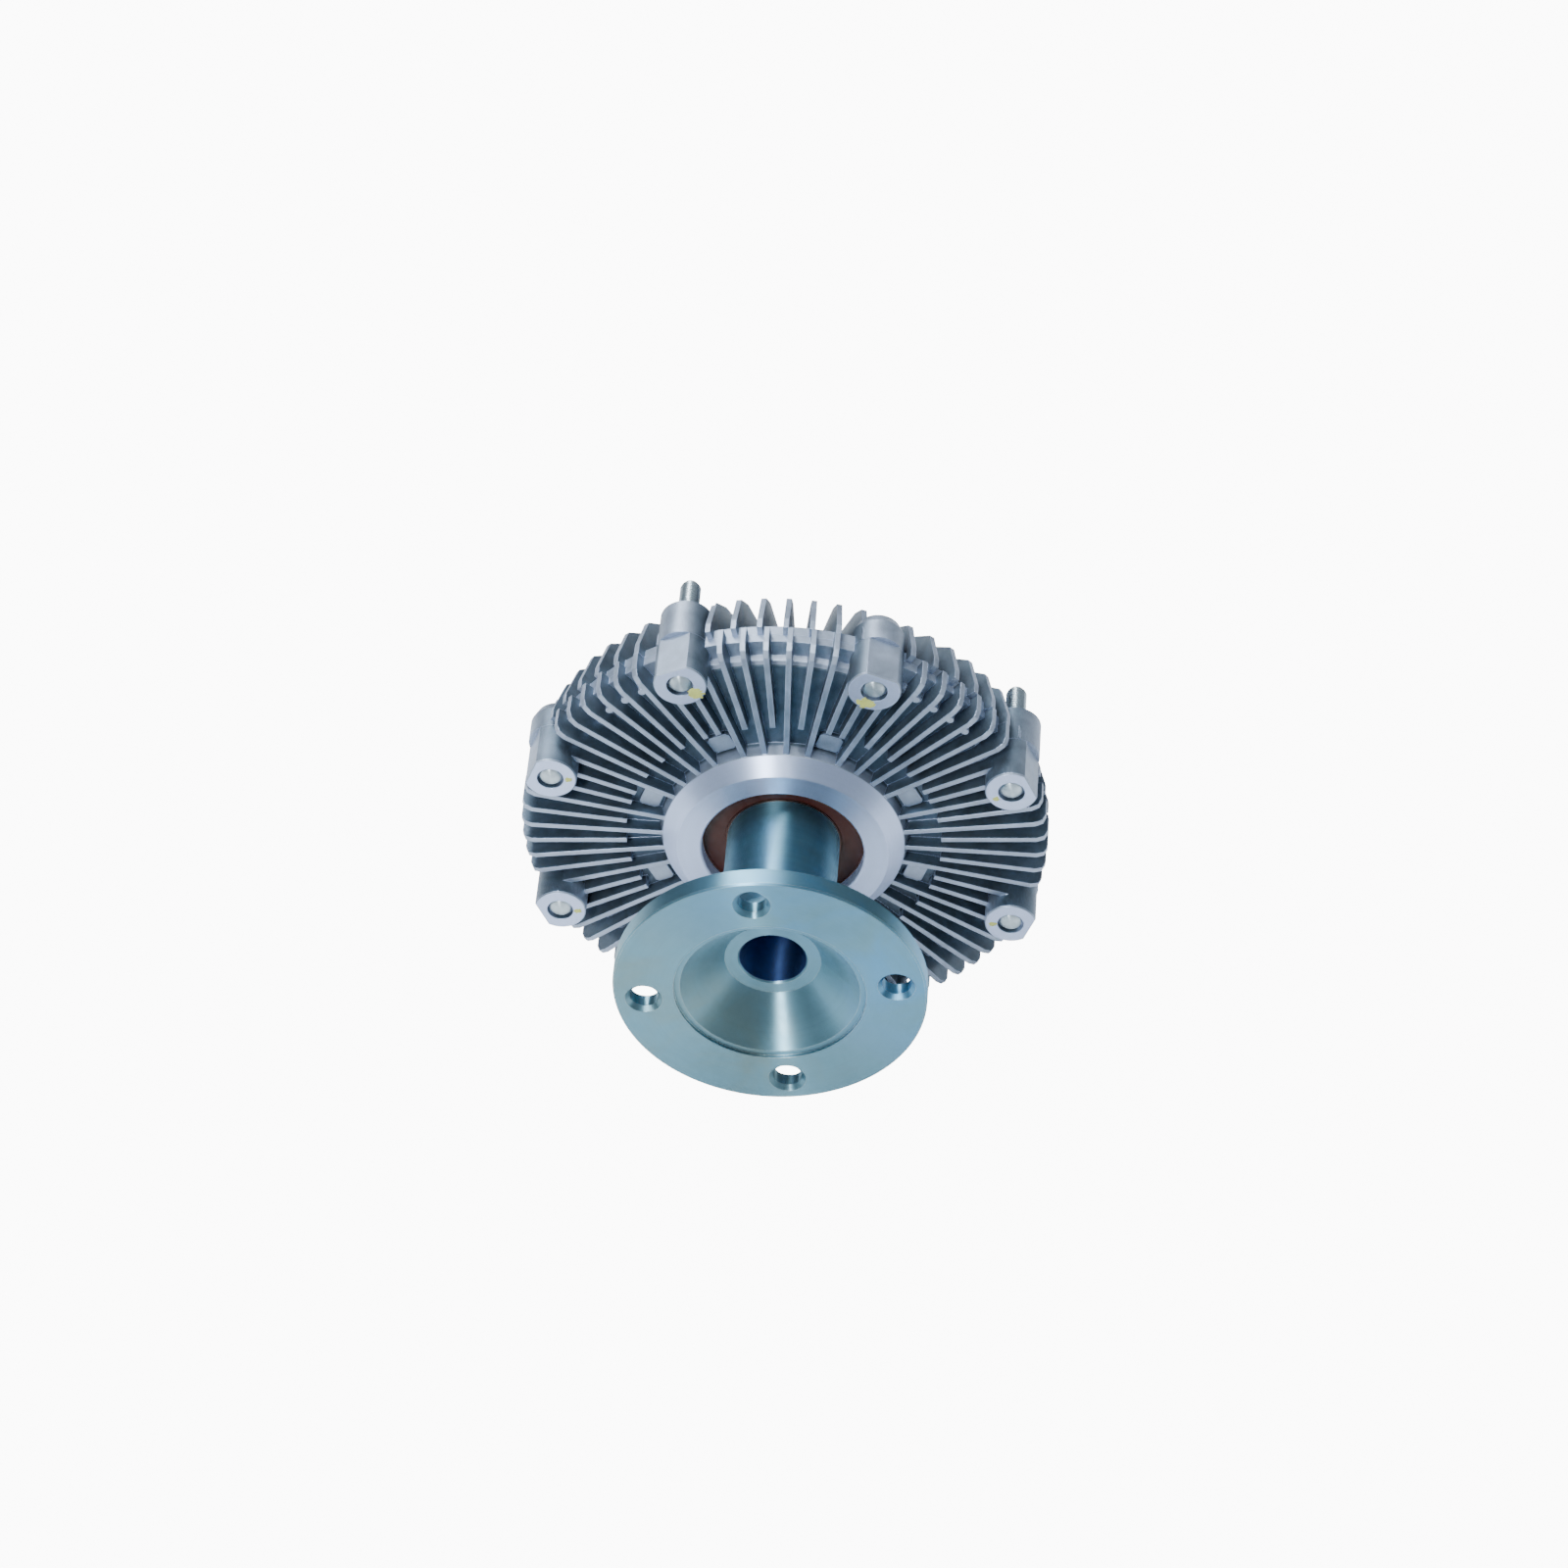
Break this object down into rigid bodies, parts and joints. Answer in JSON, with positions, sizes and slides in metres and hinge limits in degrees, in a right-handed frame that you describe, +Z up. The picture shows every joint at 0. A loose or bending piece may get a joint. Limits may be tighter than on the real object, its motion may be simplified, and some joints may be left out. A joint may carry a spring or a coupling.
{
  "type": "viscous fan clutch",
  "caption": "Viscous fan clutch with a dished mounting flange, a finned aluminium housing and cover on a ball bearing, and studs for the fan.",
  "frame": {"origin": "centre of the drive shaft flange's mounting face", "axes": "+Y along the shaft from the pump towards the fan, +Z up, as the clutch hangs on the engine"},
  "size_m": [0.2032, 0.1361, 0.2032],
  "materials": {
    "cast_aluminium": "as die-cast, satin",
    "zinc_plated_steel": "zinc plated, satin",
    "bearing_steel": "ground",
    "seal_rubber": "matt brown",
    "o_ring_rubber": "matt black",
    "cage_plastic": "moulded",
    "spring_steel": "oiled",
    "rotor_aluminium": "machined",
    "bimetal": "rolled strip",
    "wiper_plastic": "moulded"
  },
  "bodies": {
    "shaft": {"drive_shaft": "zinc_plated_steel", "rotor": "rotor_aluminium", "rotor_retaining_ring": "spring_steel", "bearing_inner_ring": "bearing_steel"},
    "housing": {"bearing_outer_ring": "bearing_steel", "bearing_rear_seal": "seal_rubber", "bearing_front_seal": "seal_rubber", "bearing_snap_ring": "spring_steel", "housing": "cast_aluminium", "cover": "cast_aluminium", "cover_o_ring": "o_ring_rubber", "valve_o_ring": "o_ring_rubber", "divider_plate": "zinc_plated_steel", "pump_wiper": "wiper_plastic", "bimetal_coil": "bimetal", "coil_bracket": "zinc_plated_steel", "coil_bracket_screw": "zinc_plated_steel", "fan_stud_1": "zinc_plated_steel", "cover_bolt_1": "zinc_plated_steel", "divider_screw_1": "zinc_plated_steel", "fan_stud_2": "zinc_plated_steel", "cover_bolt_2": "zinc_plated_steel", "divider_screw_2": "zinc_plated_steel", "fan_stud_3": "zinc_plated_steel", "cover_bolt_3": "zinc_plated_steel", "divider_screw_3": "zinc_plated_steel", "fan_stud_4": "zinc_plated_steel", "cover_bolt_4": "zinc_plated_steel", "divider_screw_4": "zinc_plated_steel"},
    "cage": {"bearing_cage": "cage_plastic", "bearing_balls": "bearing_steel"},
    "valve": {"valve_arm": "spring_steel", "valve_shaft": "zinc_plated_steel"}
  },
  "joints": [
    {"name": "housing_spin", "type": "hinge", "parent": "shaft", "child": "housing", "pos_m": [0, 0.0891, 0], "axis": [0, 1, 0], "continuous": true},
    {"name": "cage_spin", "type": "hinge", "parent": "shaft", "child": "cage", "pos_m": [0, 0.0891, 0], "axis": [0, 1, 0], "continuous": true},
    {"name": "valve_turn", "type": "hinge", "parent": "housing", "child": "valve", "pos_m": [0, 0.11, 0], "axis": [0, -1, 0], "range_deg": [0, 30]}
  ],
  "couplings": [
    {"joint": "cage_spin", "follows": "housing_spin", "ratio": 0.62059}
  ]
}
